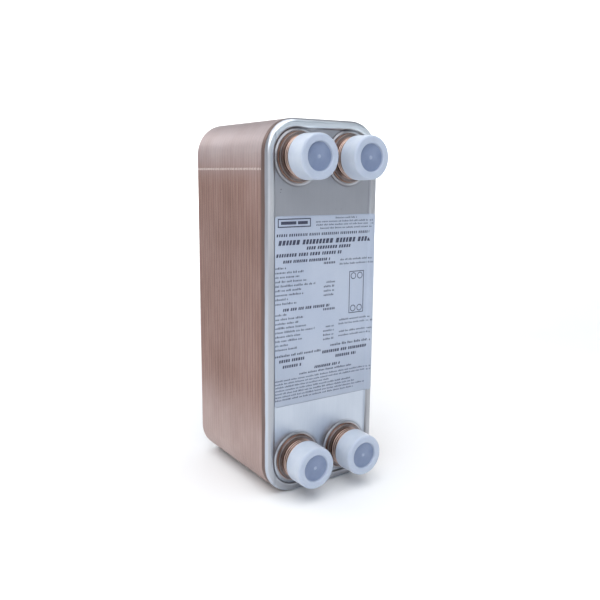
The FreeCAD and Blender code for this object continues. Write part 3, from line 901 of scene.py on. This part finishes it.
def film_depth(x, z):
    """How far the label's outer face is behind the cover's foremost plane.

    The film climbs the step to the band, and has one crease, slight ripples and a long bubble.
    """
    share = min(max((x - STEP_FOOT) / (STEP_HEAD - STEP_FOOT), 0.0), 1.0)
    share = share * share * (3 - 2 * share)
    depth = FIELD_DEPTH * (1 - share) - FILM
    crease = 0.05 * bell(z - 107.5 * MM, 0.5 * MM)
    ripple = 0.035 * noise.noise(Vector((x * 45, 0, z * 28)))
    bubble = 0.10 * bell(x - 44 * MM, 2.2 * MM) * bell(z - 150 * MM, 9 * MM)
    lift = (crease + ripple * (1 if x < STEP_HEAD else 0.2) + 0.035 + bubble) * MM
    return depth - (lift if share < 1 else 0.0)


def make_label(material):
    """The film as a closed thin sheet, with round corners, that climbs the step to the band."""
    low, high = LABEL_LOW, LABEL_HIGH
    columns, rows, corner, thickness = 90, 150, 2.0 * MM, 0.10 * MM
    front, back = [], []
    for row in range(rows + 1):
        z = low.z + (high.z - low.z) * row / rows
        to_end = min(z - low.z, high.z - z)
        tuck = corner - math.sqrt(max(corner**2 - max(corner - to_end, 0) ** 2, 0))
        for column in range(columns + 1):
            x = low.x + tuck + (high.x - low.x - 2 * tuck) * column / columns
            depth = film_depth(x, z)
            front.append((x, FRONT + depth, z))
            back.append((x, FRONT + depth + thickness, z))
    across, count = columns + 1, len(front)
    faces = []
    for row in range(rows):
        for column in range(columns):
            a = row * across + column
            faces.append((a, a + 1, a + across + 1, a + across))
            faces.append((count + a, count + a + across, count + a + across + 1, count + a + 1))
    rim = list(range(across))
    rim += [row * across + columns for row in range(1, rows + 1)]
    rim += [rows * across + column for column in range(columns - 1, -1, -1)]
    rim += [row * across for row in range(rows - 1, 0, -1)]
    for a, b in zip(rim, rim[1:] + rim[:1]):
        faces.append((a, count + a, count + b, b))
    film = new_object("label_sheet", front + back, faces)
    film.data.materials.append(material)
    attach(film, "exchanger")
    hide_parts("rating_label")


class Print:
    """Ink on the label, as thin faces just proud of the film. Places are millimetres on the label."""

    def __init__(self, seed):
        self.points, self.faces, self.draw = [], [], random.Random(seed)

    def patch(self, corners):
        """One flat inked shape, from its corners in order."""
        first = len(self.points)
        for x, z in corners:
            depth = film_depth(x * MM, z * MM)
            self.points.append((x * MM, FRONT + depth - 0.012 * MM, z * MM))
        self.faces.append(tuple(range(first, first + len(corners))))

    def bar(self, x0, x1, z0, z1, lean=0.0):
        shift = lean * (z1 - z0)
        self.patch([(x0, z0), (x1, z0), (x1 + shift, z1), (x0 + shift, z1)])

    def words(self, x0, x1, z, height, weight, lean=0.0, capitals=False):
        """A line of blank blocks from x0 to x1, spaced as characters and words are.

        The weight is how much of its space a block fills. Capitals all have the full height.
        """
        broad = (0.62, 0.95) if capitals else (0.44, 0.74)
        x = x0
        left = self.draw.randint(3, 9)
        while x < x1 - 0.3 * height:
            wide = height * self.draw.uniform(*broad)
            tall = height if capitals or self.draw.random() < 0.3 else 0.72 * height
            self.bar(x, min(x + wide * (0.30 + 0.68 * weight), x1), z, z + tall, lean)
            x += wide + 0.12 * height
            left -= 1
            if left == 0:
                x += 0.55 * height
                left = self.draw.randint(3, 9)

    def outline(self, x0, x1, z0, z1, stroke):
        self.bar(x0, x1, z0, z0 + stroke)
        self.bar(x0, x1, z1 - stroke, z1)
        self.bar(x0, x0 + stroke, z0 + stroke, z1 - stroke)
        self.bar(x1 - stroke, x1, z0 + stroke, z1 - stroke)

    def ring(self, x, z, radius, stroke, segments=28):
        for n in range(segments):
            a, b = TAU * n / segments, TAU * (n + 1) / segments
            self.patch([
                (x + r * math.cos(t), z + r * math.sin(t))
                for r, t in ((radius, a), (radius, b), (radius - stroke, b), (radius - stroke, a))
            ])

    def finish(self, name, material):
        inked = new_object(name, self.points, self.faces, smooth=False)
        inked.data.materials.append(material)
        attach(inked, "exchanger")


def make_print(material):
    """The label's layout: blank blocks in place of words, and two blank bars in a plain frame.

    A small outline drawing of a plate and its four ports stands beside the lists.
    """
    emblem = Print(1)
    emblem.outline(-44.5, -13.0, 224.9, 232.0, 0.9)
    emblem.bar(-41.5, -27.0, 227.2, 229.7)
    emblem.bar(-25.5, -16.0, 227.2, 229.7)
    emblem.finish("label_emblem", material)

    head = Print(2)
    for x0, x1, z in ((12, 35, 230.8), (-7.8, 51, 228.0), (-7.5, 51, 225.4), (-3.5, 50, 222.6)):
        head.words(x0, x1, z, 1.45, FINE)
    head.words(-45.5, 47.5, 217.6, 2.2, FINE, 0.1, capitals=True)
    head.words(-44.0, 50.8, 210.8, 3.9, HEAVY, 0.25, capitals=True)
    head.words(-17.0, 27.5, 206.3, 2.6, STRONG, 0.25, capitals=True)
    head.words(-45.9, 19.0, 201.4, 2.7, FIRM, 0.2, capitals=True)
    head.finish("label_heading", material)

    lists = Print(3)
    ends = (-36, -20, -23, -17, -8, -22, -20, -34, -26)
    for top, heading in ((193.0, 196.4), (155.0, 157.2)):
        lists.words(-39.5, 6.5, heading, 2.3, STRONG, 0.2, capitals=True)
        lists.words(0.5, 12.5, heading - 3.0, 1.9, PLAIN, 0.0, capitals=True)
        for row, end in enumerate(ends):
            z = top - 3.62 * row - 1.2
            lists.words(-46.6, end, z, 1.8, PLAIN, 0.1)
            if row in (4, 5, 6, 7):
                lists.words(3.5 if row == 4 else 0.8, 12.3, z, 1.8, PLAIN, 0.1)
    lists.words(-46.7, -1.5, 119.3, 2.1, FIRM, 0.1)
    lists.finish("label_lists", material)

    side = Print(4)
    above = ((17.5, 50.5, 195.4), (17.0, 52.6, 191.8))
    below = ((17.5, 50.0, 143.6), (17.0, 52.6, 140.2), (17.5, 52.6, 133.4), (17.0, 50.5, 129.9))
    for x0, x1, z in above + below:
        side.words(x0, x1, z, 1.6, PLAIN)
    side.outline(27.4, 43.2, 149.0, 185.6, 0.7)
    for x in (31.9, 38.9):
        for z in (153.2, 181.4):
            side.ring(x, z, 2.9, 0.7)
    side.finish("label_diagram", material)

    foot = Print(5)
    foot.words(8.5, 52.5, 122.4, 2.2, FIRM, 0.1)
    foot.words(0.0, 49.5, 117.0, 2.5, HEAVY, 0.1, capitals=True)
    foot.words(14.0, 36.0, 111.9, 2.5, HEAVY, 0.1, capitals=True)
    foot.words(-43.0, -17.5, 114.5, 2.5, HEAVY, 0.1, capitals=True)
    foot.words(-39.5, -21.5, 109.6, 2.4, STRONG, 0.1, capitals=True)
    foot.words(-8.0, 19.0, 105.2, 2.3, STRONG, 0.25, capitals=True)
    foot.words(-23.0, 32.0, 102.0, 1.8, FIRM, 0.1)
    for row in range(2):
        foot.words(-46.8, 52.6, 98.6 - 2.75 * row, 1.45, PLAIN)
    for row, end in enumerate((8.0, 32.0, 36.0, 48.0, 34.0), 2):
        foot.words(-46.5, end, 98.6 - 2.75 * row, 1.45, PLAIN)
    foot.finish("label_notes", material)


# ---------------------------------------------------------------- the whole scene
def build():
    make_camera()
    make_lights()
    make_floor()
    sheet, cover, rear = sheet_material(), cover_material(), rear_material()
    nozzle, braze, cap = nozzle_material(), braze_material(), cap_material()
    for name in PLATE_NODES:
        dress(name, sheet)
    dress("front_cover", cover)
    dress("rear_cover", rear)
    for port in PORTS:
        make_nozzle(port, nozzle)
        make_braze_ring(port, braze)
        make_cap(port, cap)
    make_rim_beads(braze)
    make_stacking_beads(bead_material())
    make_label(film_material())
    make_print(ink_material())


build()
